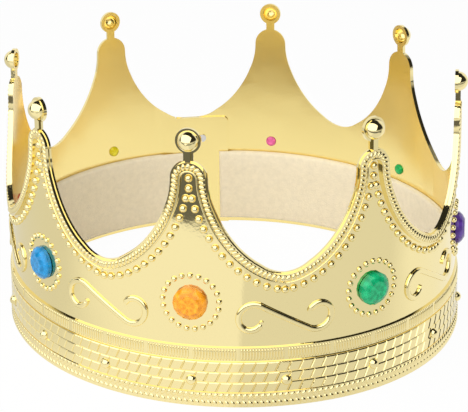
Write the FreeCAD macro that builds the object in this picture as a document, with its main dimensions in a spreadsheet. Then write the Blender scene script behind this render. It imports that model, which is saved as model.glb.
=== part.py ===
# Party crown: a thin metallised plastic strip closed into a slightly oval ring, with eight
# points, stuck-on round gems and a foam liner. Millimetres, +Z up, origin at the middle of
# the bottom rim. The lapped seam is at the back, near +Y.
import FreeCAD, Part
import math
import os
import Sketcher
from FreeCAD import Placement, Rotation, Vector

UP = Vector(0, 0, 1)
SIDEWAYS = Vector(1, 0, 0)

# Sizes
SIZES = [
    ("rim_radius", 97.0, "outside of the bottom rim, mean of its long and its short way"),
    ("oval", 0.0321, "share of the radius by which the long way is longer and the short way shorter"),
    ("oval_angle", 142.4, "direction of the long way of the ring"),
    ("lean", 0.0304, "how far the wall leans inwards for each unit of height"),
    ("wall", 0.9, "thickness of the moulded strip"),
    ("point_count", 8, "points round the crown"),
    ("seam_extra", 7.2, "extra width of the bay that holds the seam"),
    ("valley_height", 56.9, "lowest place of the cut edge between two points"),
    ("arch_height", 94.95, "centre of the round head of a point"),
    ("arch_radius", 7.35, "radius of the round head of a point"),
    ("scallop_power", 1.72, "power of the oval curve from head to valley, 2 is a plain oval"),
    ("edge_rim", 0.5, "plain rim between the cut edge and the raised border"),
    ("border_width", 4.2, "from the cut edge to the inside of the raised border"),
    ("border_relief", 1.3, "how far the border stands off the wall"),
    ("neck_width", 3.9, "width of the neck under a finial"),
    ("neck_rib_width", 2.1, "width of the rib on the neck"),
    ("neck_rib_relief", 1.2, "how far the rib on the neck stands off the wall"),
    ("finial_height", 109.95, "centre of the finial"),
    ("finial_flange_radius", 4.95, "flat rim round the back of a finial"),
    ("finial_flange", 1.4, "thickness of that rim"),
    ("finial_dome_radius", 4.1, "hollow half ball of a finial"),
    ("finial_skin", 0.8, "thickness of the half ball"),
    ("rope_top", 6.2, "top of the two rope rows at the bottom rim"),
    ("rope_relief", 1.0, "how far the rope rows stand off the wall"),
    ("brick_top", 19.5, "top of the three brick rows"),
    ("brick_relief", 0.6, "how far the brick rows stand off the wall"),
    ("reed_bottom", 20.2, "bottom of the reeded row"),
    ("reed_top", 25.8, "top of the reeded row"),
    ("reed_relief", 0.8, "how far the reeded row stands off the wall"),
    ("stud_height", 11.4, "centre of the round studs in the base"),
    ("stud_radius", 2.3, "radius of a round stud"),
    ("stud_bed", 0.1, "how deep the centre of a stud lies in the brick rows"),
    ("stud_root_angle", 12.0, "how far a stud runs on below its centre"),
    ("scroll_height", 37.9, "centre of the scroll below a valley"),
    ("scroll_reach", 12.4, "from the centre of the scroll to the centre of a loop"),
    ("scroll_loop_radius", 6.1, "outer bend of a scroll loop"),
    ("scroll_curl_radius", 4.6, "inner bend of a scroll loop"),
    ("scroll_stroke", 2.0, "width of the scroll line"),
    ("scroll_relief", 0.8, "how far the scroll stands off the wall"),
    ("scroll_join", 10.0, "angle on a loop where the outer bend runs into the inner one"),
    ("scroll_end", 158.0, "angle on a loop where the inner bend ends"),
    ("gem_height", 44.3, "centre of a gem"),
    ("gem_sides", 16, "sides of a gem"),
    ("gem_radius", 6.85, "radius of a gem at its girdle"),
    ("gem_table_radius", 3.9, "radius of the flat table of a gem"),
    ("gem_girdle", 1.7, "height of the upright side of a gem"),
    ("gem_crown", 2.1, "height of the sloping facets of a gem"),
    ("gem_seat_gap", 0.05, "glue line between a gem and the wall"),
    ("peg_radius", 2.4, "radius of the peg on the back of a gem"),
    ("peg_proud", 1.4, "how far a peg stands out inside the crown"),
    ("peg_clearance", 0.1, "room round a peg in its hole"),
    ("lap_outer_end", 7.0, "outer end of the strip, past the middle of the seam bay"),
    ("lap_joggle_start", 1.0, "from the outer end to where the inner end has stepped inwards"),
    ("lap_joggle_length", 6.0, "length over which the inner end steps inwards"),
    ("lap_inner_end", 18.5, "inner end of the strip, past the middle of the seam bay"),
    ("lap_corner_radius", 2.5, "rounded top corner of the inner end"),
    ("lap_gap", 0.15, "room between the two layers of the lap"),
    ("rivet_offset", 5.8, "rivets, from the middle of the seam bay"),
    ("rivet_upper_height", 46.0, "upper rivet"),
    ("rivet_lower_height", 12.6, "lower rivet"),
    ("rivet_shank_radius", 1.0, "rivet shank"),
    ("rivet_head_radius", 1.9, "rivet head"),
    ("rivet_head_thickness", 0.5, "thickness of a rivet head"),
    ("rivet_clearance", 0.08, "room round and under a rivet"),
    ("foam_bottom", 2.5, "bottom edge of the foam liner"),
    ("foam_top", 38.7, "top edge of the foam liner"),
    ("foam_thickness", 3.0, "thickness of the foam liner"),
    ("foam_gap", 0.15, "glue line between foam and wall"),
    ("foam_pocket_room", 1.0, "room in the foam past the end of the tab"),
    ("foam_near_end", 14.5, "foam end on the side of the lapped tab, from the seam middle"),
    ("foam_far_end", 3.6, "foam end on the other side, from the seam middle"),
]

doc = FreeCAD.newDocument("PartyCrown")
sheet = doc.addObject("Spreadsheet::Sheet", "Sizes")
for row, (alias, value, note) in enumerate(SIZES, start=1):
    sheet.set(f"A{row}", note)
    sheet.set(f"B{row}", str(value))
    sheet.setAlias(f"B{row}", alias)
doc.recompute()


def size(alias):
    return float(sheet.get(alias))


POINTS = int(size("point_count"))
RIM = size("rim_radius")
TOOL_DEPTH = 16.0
BELOW = -5.0
TOP = size("finial_height")
CELL_OVERLAP = 1.5
SEAM_ANGLE = 90.0
STUD_TURN = 35.0
PITCH = (2 * math.pi * RIM - size("seam_extra")) / POINTS

# The oval is four quarter turns that run smoothly into each other, two round the ends of the
# long way and two along the sides, each about its own centre
SQUEEZE = RIM * size("oval")
CENTRE_SHIFT = 2 * SQUEEZE / (2 - math.sqrt(2))
QUARTERS = []
for turn in range(4):
    direction = size("oval_angle") + 90.0 * turn
    outwards = Rotation(UP, direction).multVec(Vector(1, 0, 0))
    if turn % 2 == 0:
        QUARTERS.append((direction, "-", RIM + SQUEEZE - CENTRE_SHIFT, outwards * CENTRE_SHIFT))
    else:
        QUARTERS.append((direction, "+", RIM - SQUEEZE + CENTRE_SHIFT, outwards * -CENTRE_SHIFT))


def station(arc):
    """Placement on the rim, a length anticlockwise from the seam: X along it, Y inwards."""
    start = math.radians(SEAM_ANGLE - size("oval_angle")) * RIM + QUARTERS[0][2] * math.pi / 4
    run = (start + arc) % (2 * math.pi * RIM)
    quarter = 0
    while run > QUARTERS[quarter][2] * math.pi / 2 and quarter < 3:
        run -= QUARTERS[quarter][2] * math.pi / 2
        quarter += 1
    direction, _, radius, centre = QUARTERS[quarter]
    angle = direction - 45.0 + math.degrees(run / radius)
    place = centre + Rotation(UP, angle).multVec(Vector(radius, 0, 0))
    return Placement(place, Rotation(UP, angle + 90.0))


def point_arc(index):
    """Length from the seam to the middle of a point, counted anticlockwise from 0."""
    return size("seam_extra") / 2 + PITCH * (index + 0.5)


POINT_PLACES = [station(point_arc(index)) for index in range(POINTS)]
BAY_PLACES = [station(point_arc(index) + PITCH / 2) for index in range(POINTS - 1)]
SEAM = station(0)


def flat(across):
    """Sideways place of a length along the strip, once the strip is bent round."""
    return RIM * math.sin(across / RIM)


def on_wall(place, height, proud=0.0):
    """Placement on the leaning wall with Z pointing outwards."""
    surface = place.multVec(Vector(0, size("lean") * height - proud, height))
    lean_angle = math.degrees(math.atan(size("lean")))
    return Placement(surface, place.Rotation.multiply(Rotation(SIDEWAYS, 90.0 - lean_angle)))


# Document objects
def feature(label, shape):
    made = doc.addObject("Part::Feature", label)
    made.Shape = shape
    return made


def fuse(label, pieces):
    made = doc.addObject("Part::MultiFuse", label)
    made.Shapes = pieces
    return made


def common(label, pieces):
    made = doc.addObject("Part::MultiCommon", label)
    made.Shapes = pieces
    return made


def cut(label, base, tool):
    made = doc.addObject("Part::Cut", label)
    made.Base = base
    made.Tool = tool
    return made


# Ring layers
def cone(label, quarter, angle, grow, low, high):
    """Leaning block about the centre of one quarter of the oval."""
    direction, sign, _, centre = QUARTERS[quarter]
    radius = f"Sizes.rim_radius * (1 {sign} Sizes.oval * (2 / (2 - sqrt(2)) - 1))"
    block = doc.addObject("Part::Cone", label)
    block.setExpression("Radius1", f"{radius} + {grow} - Sizes.lean * ({low})")
    block.setExpression("Radius2", f"{radius} + {grow} - Sizes.lean * ({high})")
    block.setExpression("Height", f"{high} - ({low})")
    block.Angle = angle
    block.Placement = Placement(centre, Rotation(UP, direction - 45.0))
    block.setExpression("Placement.Base.z", low)
    return block


def ring_layer(label, inside, outside, low, high):
    """Leaning oval ring between two distances from the outer face of the wall."""
    quarters = []
    for quarter in range(4):
        name = f"{label}_{quarter + 1}"
        outer = cone(f"{name}_outside", quarter, 90, outside, low, high)
        inner = cone(f"{name}_inside", quarter, 360, inside, low, high)
        quarters.append(cut(name, outer, inner))
    return fuse(label, quarters)


def sector(label, arc_from, arc_to):
    """Upright block through the wall between two places of the rim, its ends square to the wall."""
    depth = 2 * TOOL_DEPTH
    corners = []
    for arc, inwards in ((arc_from, depth), (arc_from, -depth), (arc_to, -depth), (arc_to, depth)):
        corners.append(station(arc).multVec(Vector(0, inwards, BELOW)))
    face = Part.Face(Part.makePolygon(corners + corners[:1]))
    return feature(label, face.extrude(Vector(0, 0, 2 * TOP)))


def prism(wire):
    """Solid from a wire in the plane of the strip, reaching through the bent wall."""
    wire.translate(Vector(0, -TOOL_DEPTH / 2, 0))
    return Part.Face(wire).extrude(Vector(0, 2 * TOOL_DEPTH, 0))


def copies(shape, places):
    """Copies of a shape made at the origin, one in each place."""
    return [shape.transformed(place.toMatrix(), True) for place in places]


# Outline of a point
def scallop(inset, arcs=4):
    """Cut edge from the head of a point down to the valley, moved into the strip by inset."""
    half_pitch = PITCH / 2
    width = half_pitch - size("arch_radius")
    drop = size("arch_height") - size("valley_height")
    power = 2.0 / size("scallop_power")
    steps = 2 * arcs
    places = []
    for step in range(steps + 1):
        turn = math.pi / 2 * step / steps
        across = half_pitch - width * max(math.cos(turn), 0.0) ** power
        height = size("arch_height") - drop * math.sin(turn) ** power
        if step == 0:
            into = Vector(-1, 0, 0)
        elif step == steps:
            into = Vector(0, 0, -1)
        else:
            along = width * math.sin(turn) * math.cos(turn) ** (power - 1)
            down = drop * math.cos(turn) * math.sin(turn) ** (power - 1)
            into = Vector(-down, 0, -along).normalize()
        places.append(Vector(flat(across + inset * into.x), 0, height + inset * into.z))
    return places


def tangent_arc(start, end, direction):
    """Arc that leaves its start along a direction and runs to its end."""
    chord = end - start
    side = Vector(-direction.z, 0, direction.x)
    radius = chord.Length ** 2 / (2 * chord.dot(side))
    centre = start + side * radius
    middle = ((start + end) / 2 - centre).normalize() * abs(radius) + centre
    return Part.Arc(start, middle, end).toShape()


def cut_edge(places, out):
    """Arcs through the places, upright at the head and level in the valley."""
    chain = [tangent_arc(places[0], places[2], Vector(0, 0, -1))]
    for step in range(2, len(places) - 4, 2):
        chain.append(Part.Arc(places[step], places[step + 1], places[step + 2]).toShape())
    chain.append(tangent_arc(places[-1], places[-3], Vector(-out, 0, 0)))
    return chain


def point_wire(inset):
    """Outline of one point and the strip below it, up to the middle of both bays."""
    right = scallop(inset)
    left = [Vector(-place.x, 0, place.z) for place in right]
    head = Vector(0, 0, size("arch_height") + size("arch_radius") - inset)
    arch = Part.Arc(left[0], head, right[0]).toShape()
    outer = right[-1].x + CELL_OVERLAP
    corners = [
        right[-1],
        Vector(outer, 0, right[-1].z),
        Vector(outer, 0, BELOW),
        Vector(-outer, 0, BELOW),
        Vector(-outer, 0, left[-1].z),
        left[-1],
    ]
    edges = [Part.makeLine(start, end) for start, end in zip(corners, corners[1:])]
    edges += cut_edge(left, -1) + cut_edge(right, 1) + [arch]
    return Part.Wire(Part.__sortEdges__(edges))


def strip_box(across_low, across_high, top, corner_radius=0.0):
    """Outline of a plain stretch of the strip, its low end rounded at the top."""
    low = Vector(across_low, 0, top - corner_radius)
    corners = [
        Vector(across_low + corner_radius, 0, top),
        Vector(across_high, 0, top),
        Vector(across_high, 0, BELOW),
        Vector(across_low, 0, BELOW),
        low,
    ]
    edges = [Part.makeLine(start, end) for start, end in zip(corners, corners[1:])]
    if corner_radius > 0:
        cosine = corner_radius * math.sqrt(0.5)
        bend = Vector(across_low + corner_radius - cosine, 0, top - corner_radius + cosine)
        edges.append(Part.Arc(low, bend, corners[0]).toShape())
    return Part.Wire(Part.__sortEdges__(edges))


valley = size("valley_height")
half_neck = size("neck_width") / 2
neck = prism(strip_box(-half_neck, half_neck, TOP))
point_tool = prism(point_wire(0.0)).fuse(neck)
lap_half = size("lap_outer_end") + size("lap_joggle_length") / 2
seam_tool = prism(strip_box(-lap_half, lap_half, valley))
outline_tools = copies(point_tool, POINT_PLACES) + copies(seam_tool, [SEAM])
outline = feature("outline_tool", outline_tools[0].fuse(outline_tools[1:]))


def inset_outline(label, inset):
    """Everything inside a line that follows the cut edge at a distance."""
    tools = copies(prism(point_wire(inset)), POINT_PLACES)
    tools += copies(prism(strip_box(-lap_half, lap_half, valley - inset)), [SEAM])
    return feature(label, tools[0].fuse(tools[1:]))


border_outside = inset_outline("border_outside", size("edge_rim"))
border_inside = inset_outline("border_inside", size("border_width"))

# The ring with its base rows, open at the back where the inner end of the strip steps in
joggle_near = size("lap_outer_end") + size("lap_joggle_start")
joggle_far = joggle_near + size("lap_joggle_length")
MIDDLE = "-Sizes.wall / 2"
wall_ring = ring_layer("wall_ring", "-Sizes.wall", "0", "0", "Sizes.finial_height")
rope_row = ring_layer("rope_row", MIDDLE, "Sizes.rope_relief", "0", "Sizes.rope_top")
brick_row = ring_layer("brick_row", MIDDLE, "Sizes.brick_relief", "Sizes.rope_top", "Sizes.brick_top")
reed_row = ring_layer("reed_row", MIDDLE, "Sizes.reed_relief", "Sizes.reed_bottom", "Sizes.reed_top")
ring_whole = fuse("ring_whole", [wall_ring, rope_row, brick_row, reed_row])
seam_window = sector("seam_window", size("lap_outer_end"), joggle_far)
ring_open = cut("ring_open", ring_whole, seam_window)

# Lapped seam: the inner end steps inwards over a short stretch and runs on as a flat tab
tab_ring = ring_layer(
    "tab_ring", "-2 * Sizes.wall - Sizes.lap_gap", "-Sizes.wall - Sizes.lap_gap", "0", "Sizes.finial_height"
)
tab_window = sector("tab_window", joggle_near, joggle_far)
tab_open = cut("tab_open", tab_ring, tab_window)
tab_reach = flat(joggle_near + size("lap_joggle_length") / 2)
tab_outline = strip_box(-flat(size("lap_inner_end")), tab_reach, valley, size("lap_corner_radius"))
tab_tool = feature("tab_tool", copies(prism(tab_outline), [SEAM])[0])
tab = common("tab", [tab_open, tab_tool])


def wall_section(arc, step_in):
    """Upright section of the strip at a place of the rim, moved inwards."""
    corners = []
    for inwards, height in ((0, 0), (size("wall"), 0), (size("wall"), TOP), (0, TOP)):
        corners.append(station(arc).multVec(Vector(0, step_in + inwards + size("lean") * height, height)))
    return Part.makePolygon(corners + corners[:1])


step_in = size("wall") + size("lap_gap")
joggle_ends = [wall_section(joggle_far, 0.0), wall_section(joggle_near, step_in)]
joggle = feature("joggle", Part.makeLoft(joggle_ends, True, True))
strip_whole = fuse("strip_whole", [ring_open, joggle, tab])
strip = common("strip", [strip_whole, outline])

# Border along the cut edge
border_low = "Sizes.valley_height - 4 * Sizes.border_width"
border_ring = ring_layer("border_ring", MIDDLE, "Sizes.border_relief", border_low, "Sizes.finial_height")
border_open = cut("border_open", border_ring, seam_window)
border = cut("border", common("border_outline", [border_open, border_outside]), border_inside)

# Neck ribs
half_rib = size("neck_rib_width") / 2
rib_ring = ring_layer(
    "rib_ring", MIDDLE, "Sizes.neck_rib_relief", "Sizes.arch_height", "Sizes.finial_height"
)
rib_low = size("arch_height") + size("arch_radius") - size("border_width") / 2
rib_bar = Part.makeBox(2 * half_rib, 2 * TOOL_DEPTH, TOP, Vector(-half_rib, -TOOL_DEPTH, rib_low))
rib_tool = feature("rib_tool", Part.makeCompound(copies(rib_bar, POINT_PLACES)))
ribs = common("neck_ribs", [rib_ring, rib_tool])

# Finials: a flat rim with a hollow half ball, open at the back
flange = doc.addObject("Part::Cylinder", "finial_flange")
flange.setExpression("Radius", "Sizes.finial_flange_radius")
flange.setExpression("Height", "Sizes.finial_flange")
flange.setExpression("Placement.Base.z", "-(Sizes.finial_flange + Sizes.wall) / 2")
dome = doc.addObject("Part::Sphere", "finial_dome")
dome.setExpression("Radius", "Sizes.finial_dome_radius")
dome.Angle1 = 0
hollow = doc.addObject("Part::Sphere", "finial_hollow")
hollow.setExpression("Radius", "Sizes.finial_dome_radius - Sizes.finial_skin")
hollow.Angle1 = 0
back_hole = doc.addObject("Part::Cylinder", "finial_back_hole")
back_hole.setExpression("Radius", "Sizes.finial_dome_radius - Sizes.finial_skin")
back_hole.setExpression("Height", "2 * Sizes.wall")
back_hole.setExpression("Placement.Base.z", "-2 * Sizes.wall")
finial_solid = fuse("finial_solid", [flange, dome])
finial = cut("finial", finial_solid, fuse("finial_inside", [hollow, back_hole]))
doc.recompute()
finial_places = [on_wall(place, TOP) for place in POINT_PLACES]
finials = copies(finial.Shape, finial_places)
finial_voids = copies(finial.Tool.Shape, finial_places)

# Studs
stud = doc.addObject("Part::Sphere", "stud")
stud.setExpression("Radius", "Sizes.stud_radius")
stud.setExpression("Angle1", "-Sizes.stud_root_angle")
stud.Placement = Placement(Vector(0, 0, 0), Rotation(UP, STUD_TURN))
doc.recompute()
stud_places = []
for place in POINT_PLACES + BAY_PLACES:
    stud_places.append(on_wall(place, size("stud_height"), size("brick_relief") - size("stud_bed")))
studs = copies(stud.Shape, stud_places)


# Scrolls
def scroll_half(turned):
    """Half of the S line: straight middle, outer bend, inner curl."""
    loop = size("scroll_loop_radius")
    curl = size("scroll_curl_radius")
    reach = size("scroll_reach")
    tangent_turn = math.acos(loop / reach)
    start = -math.pi + tangent_turn
    join = math.radians(size("scroll_join"))
    end = math.radians(size("scroll_end"))
    curl_x = reach + (loop - curl) * math.cos(join)
    curl_z = (loop - curl) * math.sin(join)

    def place(x, z):
        sign = -1.0 if turned else 1.0
        return Vector(sign * x, 0, size("scroll_height") + sign * z)

    def on_loop(turn):
        return place(reach + loop * math.cos(turn), loop * math.sin(turn))

    def on_curl(turn):
        return place(curl_x + curl * math.cos(turn), curl_z + curl * math.sin(turn))

    outer = Part.Arc(on_loop(start), on_loop((start + join) / 2), on_loop(join)).toShape()
    inner = Part.Arc(on_loop(join), on_curl((join + end) / 2), on_curl(end)).toShape()
    return [Part.makeLine(place(0, 0), on_loop(start)), outer, inner]


scroll_line = Part.Wire(Part.__sortEdges__(scroll_half(True) + scroll_half(False)))
scroll_face = scroll_line.makeOffset2D(size("scroll_stroke") / 2, join=0, fill=True, openResult=False)
scroll_face.translate(Vector(0, -TOOL_DEPTH / 2, 0))
scroll_prism = scroll_face.extrude(Vector(0, TOOL_DEPTH, 0))
scroll_tool = feature("scroll_tool", Part.makeCompound(copies(scroll_prism, BAY_PLACES)))
scroll_ring = ring_layer(
    "scroll_ring", MIDDLE, "Sizes.scroll_relief", "Sizes.reed_top", "Sizes.valley_height"
)
scrolls = common("scrolls", [scroll_ring, scroll_tool])

# Holes for the pegs of the gems and for the rivets
gem_places = [on_wall(place, size("gem_height"), size("gem_seat_gap")) for place in POINT_PLACES]
peg_hole = doc.addObject("Part::Cylinder", "peg_hole")
peg_hole.setExpression("Radius", "Sizes.peg_radius + Sizes.peg_clearance")
peg_hole.Height = TOOL_DEPTH
peg_hole.Placement.Base.z = -TOOL_DEPTH / 2
rivet_hole = doc.addObject("Part::Cylinder", "rivet_hole")
rivet_hole.setExpression("Radius", "Sizes.rivet_shank_radius + Sizes.rivet_clearance")
rivet_hole.Height = TOOL_DEPTH
rivet_hole.Placement.Base.z = -TOOL_DEPTH / 2
doc.recompute()
rivet_station = station(-size("rivet_offset"))
rivet_places = {
    "closure_rivet_upper": on_wall(rivet_station, size("rivet_upper_height")),
    "closure_rivet_lower": on_wall(rivet_station, size("rivet_lower_height"), size("brick_relief")),
}
holes = copies(peg_hole.Shape, gem_places) + copies(rivet_hole.Shape, list(rivet_places.values()))

# The moulded strip, one piece
reliefs = [border.Shape, scrolls.Shape, ribs.Shape]
crown_blank = feature("crown_blank", strip.Shape.fuse(reliefs + studs + finials))
if len(crown_blank.Shape.Solids) != 1:
    raise RuntimeError(f"the strip came out as {len(crown_blank.Shape.Solids)} solids")
crown_shell = feature("crown_shell", crown_blank.Shape.cut(finial_voids + holes))


# Gems: upright many-sided girdle, sloping facets up to a flat table, peg at the back
def gem(label, place):
    girdle = doc.addObject("Part::Prism", f"{label}_girdle")
    girdle.Polygon = int(size("gem_sides"))
    girdle.setExpression("Circumradius", "Sizes.gem_radius")
    girdle.setExpression("Height", "Sizes.gem_girdle")
    low = doc.addObject("Part::RegularPolygon", f"{label}_facet_foot")
    low.Polygon = int(size("gem_sides"))
    low.setExpression("Circumradius", "Sizes.gem_radius")
    low.setExpression("Placement.Base.z", "Sizes.gem_girdle")
    high = doc.addObject("Part::RegularPolygon", f"{label}_table_edge")
    high.Polygon = int(size("gem_sides"))
    high.setExpression("Circumradius", "Sizes.gem_table_radius")
    high.setExpression("Placement.Base.z", "Sizes.gem_girdle + Sizes.gem_crown")
    facets = doc.addObject("Part::Loft", f"{label}_facets")
    facets.Sections = [low, high]
    facets.Solid = True
    facets.Ruled = True
    peg = doc.addObject("Part::Cylinder", f"{label}_peg")
    peg.setExpression("Radius", "Sizes.peg_radius")
    peg.setExpression("Height", "Sizes.wall + Sizes.peg_proud + Sizes.gem_girdle / 2")
    peg.setExpression("Placement.Base.z", "-Sizes.wall - Sizes.peg_proud")
    whole = fuse(label, [girdle, facets, peg])
    whole.Refine = True
    whole.Placement = place
    return whole


GEM_COLOURS = ["yellow", "red", "blue", "orange", "green", "purple", "emerald", "pink"]
gems = [gem(f"gem_{colour}", place) for colour, place in zip(GEM_COLOURS, gem_places)]


# Rivets: turned in one sketch, head outside, clinched head inside
def rivet(label, place, skins):
    """Body turned about its axis; skins is the thickness that it holds together."""
    body = doc.addObject("PartDesign::Body", label)
    sketch = body.newObject("Sketcher::SketchObject", f"{label}_profile")
    plane = [item for item in body.Origin.OriginFeatures if item.Role == "XZ_Plane"][0]
    sketch.AttachmentSupport = [(plane, "")]
    sketch.MapMode = "FlatFace"
    head = size("rivet_head_thickness")
    radius = size("rivet_head_radius")
    shank = size("rivet_shank_radius")
    length = skins + 2 * size("rivet_clearance")
    outline_places = [
        (0, 0), (radius, 0), (radius, head), (shank, head), (shank, head + length),
        (radius, head + length), (radius, 2 * head + length), (0, 2 * head + length),
    ]
    for index, (across, height) in enumerate(outline_places):
        after = outline_places[(index + 1) % len(outline_places)]
        sketch.addGeometry(Part.LineSegment(Vector(across, height, 0), Vector(after[0], after[1], 0)), False)
    count = len(outline_places)
    for index in range(count):
        sketch.addConstraint(Sketcher.Constraint("Coincident", index, 2, (index + 1) % count, 1))
    for index in (0, 2, 4, 6):
        sketch.addConstraint(Sketcher.Constraint("Horizontal", index))
    for index in (1, 3, 5, 7):
        sketch.addConstraint(Sketcher.Constraint("Vertical", index))
    sketch.addConstraint(Sketcher.Constraint("Coincident", 0, 1, -1, 1))
    length_rule = f"{skins} + 2 * Sizes.rivet_clearance"
    shoulder_rule = "Sizes.rivet_head_radius - Sizes.rivet_shank_radius"
    rules = [
        (Sketcher.Constraint("DistanceX", 0, 1, 0, 2, radius), "Sizes.rivet_head_radius"),
        (Sketcher.Constraint("DistanceX", 4, 1, 4, 2, radius - shank), shoulder_rule),
        (Sketcher.Constraint("DistanceX", 6, 2, 6, 1, radius), "Sizes.rivet_head_radius"),
        (Sketcher.Constraint("DistanceY", 1, 1, 1, 2, head), "Sizes.rivet_head_thickness"),
        (Sketcher.Constraint("DistanceY", 3, 1, 3, 2, length), length_rule),
        (Sketcher.Constraint("DistanceY", 5, 1, 5, 2, head), "Sizes.rivet_head_thickness"),
    ]
    for constraint, rule in rules:
        number = sketch.addConstraint(constraint)
        sketch.setExpression(f"Constraints[{number}]", rule)
    turned = body.newObject("PartDesign::Revolution", f"{label}_turned")
    turned.Profile = sketch
    turned.ReferenceAxis = (sketch, ["V_Axis"])
    turned.Angle = 360
    doc.recompute()
    inner_face = -skins - size("rivet_clearance") - head
    body.Placement = place.multiply(Placement(Vector(0, 0, inner_face), Rotation()))
    return body


two_skins = 2 * size("wall") + size("lap_gap")
rivets = [
    rivet("closure_rivet_upper", rivet_places["closure_rivet_upper"], two_skins),
    rivet("closure_rivet_lower", rivet_places["closure_rivet_lower"], two_skins + size("brick_relief")),
]

# Foam liner: a band of foam glued inside, from one side of the seam round to the other,
# laid over the end of the lapped tab
foam_ring = ring_layer(
    "foam_ring", "-Sizes.wall - Sizes.foam_gap - Sizes.foam_thickness", "-Sizes.wall - Sizes.foam_gap",
    "Sizes.foam_bottom", "Sizes.foam_top",
)
foam_window = sector("foam_window", -size("foam_near_end"), size("foam_far_end"))
tab_room = ring_layer(
    "tab_room", "-2 * Sizes.wall - Sizes.lap_gap - Sizes.foam_gap", "0", "0", "Sizes.valley_height"
)
pocket_room = size("foam_pocket_room")
tab_side = sector("tab_side", -size("lap_inner_end") - pocket_room, joggle_far + size("foam_gap"))
foam_open = cut("foam_open", foam_ring, foam_window)
foam_liner = cut("foam_liner", foam_open, common("tab_pocket", [tab_room, tab_side]))

NODES = [crown_shell, foam_liner] + gems + rivets
doc.recompute()

failed = [item.Label for item in doc.Objects if "Invalid" in item.State or "Error" in item.State]
if failed:
    raise RuntimeError("objects not built: " + ", ".join(failed))
for node in NODES:
    if node.Shape.isNull() or not node.Shape.isValid():
        raise RuntimeError(node.Label + " is not a valid shape")

os.makedirs("parts", exist_ok=True)
for node in NODES:
    node.Shape.exportStep(f"parts/{node.Label}.step")
    box = node.Shape.BoundBox
    print(
        node.Label, "solids", len(node.Shape.Solids), "volume", round(node.Shape.Volume, 1),
        "box", [round(value, 2) for value in (box.XMin, box.YMin, box.ZMin, box.XMax, box.YMax, box.ZMax)],
    )
print("pitch", round(PITCH, 2))
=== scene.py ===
import math

import bmesh
import bpy
from mathutils import Matrix, Vector


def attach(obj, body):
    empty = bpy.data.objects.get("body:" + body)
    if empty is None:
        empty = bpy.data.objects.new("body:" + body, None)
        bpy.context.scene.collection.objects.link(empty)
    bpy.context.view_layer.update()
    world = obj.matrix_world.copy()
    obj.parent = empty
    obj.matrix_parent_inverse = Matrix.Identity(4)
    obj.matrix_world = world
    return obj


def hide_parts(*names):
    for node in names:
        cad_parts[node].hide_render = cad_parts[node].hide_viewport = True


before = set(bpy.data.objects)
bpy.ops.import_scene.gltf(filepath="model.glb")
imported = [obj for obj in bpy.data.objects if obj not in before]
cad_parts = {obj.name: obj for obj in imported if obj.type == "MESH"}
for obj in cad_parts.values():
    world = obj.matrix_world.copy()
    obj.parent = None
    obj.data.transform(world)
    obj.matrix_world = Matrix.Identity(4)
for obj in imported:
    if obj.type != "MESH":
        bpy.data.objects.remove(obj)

bl_info = {
    "name": "Party Crown Finish",
    "version": (1, 0, 0),
    "blender": (4, 5, 0),
    "location": "View3D > Sidebar > Crown",
    "description": "Relief, gems, foam liner and studio for a metallised plastic party crown",
    "category": "Object",
}

MM = 0.001
PHOTO_WIDTH = 468
GEMS = ["yellow", "red", "blue", "orange", "green", "purple", "emerald", "pink"]


# Settings
def length(name, description, millimetres):
    return bpy.props.FloatProperty(
        name=name, description=description, default=millimetres * MM, min=0.0, precision=5,
        unit="LENGTH", subtype="DISTANCE",
    )


def colour(name, description, value):
    return bpy.props.FloatVectorProperty(
        name=name, description=description, default=value, size=3, min=0.0, max=1.0, subtype="COLOR",
    )


def number(name, description, value):
    return bpy.props.FloatProperty(name=name, description=description, default=value)


def angle(name, description, degrees):
    return bpy.props.FloatProperty(
        name=name, description=description, default=math.radians(degrees), subtype="ANGLE", unit="ROTATION",
    )


def count(name, description, value):
    return bpy.props.IntProperty(name=name, description=description, default=value, min=1)


class CrownStripSettings(bpy.types.PropertyGroup):
    """The bent strip, with the sizes that the CAD model has."""
    rim_radius: length("Rim radius", "Outside of the bottom rim, mean of its long and short way", 97.0)
    oval: number("Oval", "Share of the radius by which the long way is longer", 0.0321)
    oval_angle: angle("Oval angle", "Direction of the long way", 142.4)
    lean: number("Lean", "How far the wall leans inwards for each unit of height", 0.0304)
    wall: length("Wall", "Thickness of the strip", 0.9)
    points: count("Points", "Points round the crown", 8)
    seam_extra: length("Seam extra", "Extra width of the bay with the seam", 7.2)
    valley_height: length("Valley height", "Lowest place of the cut edge", 56.9)
    arch_height: length("Arch height", "Centre of the round head of a point", 94.95)
    arch_radius: length("Arch radius", "Radius of the round head of a point", 7.35)
    scallop_power: number("Scallop power", "Power of the oval cut edge, 2 is a plain oval", 1.72)
    lap_outer_end: length("Outer end", "Outer end of the strip, past the middle of the seam bay", 7.0)
    lap_inner_start: length("Inner start", "Where the inner end comes out from under the outer one", 14.0)
    lap_inner_end: length("Inner end", "Inner end of the strip, past the middle of the seam bay", 18.5)
    lap_gap: length("Lap gap", "Room between the two layers of the lap", 0.15)
    gold_outside: colour("Gold outside", "Mirror gold of the front", (0.93, 0.80, 0.41))
    # The inside colour is warmer and brighter than the gold itself: painted warm bounce light between the
    # gold walls.
    gold_inside_painted_bounce: colour("Gold inside", "Warmer satin gold of the back", (0.98, 0.80, 0.33))


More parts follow.
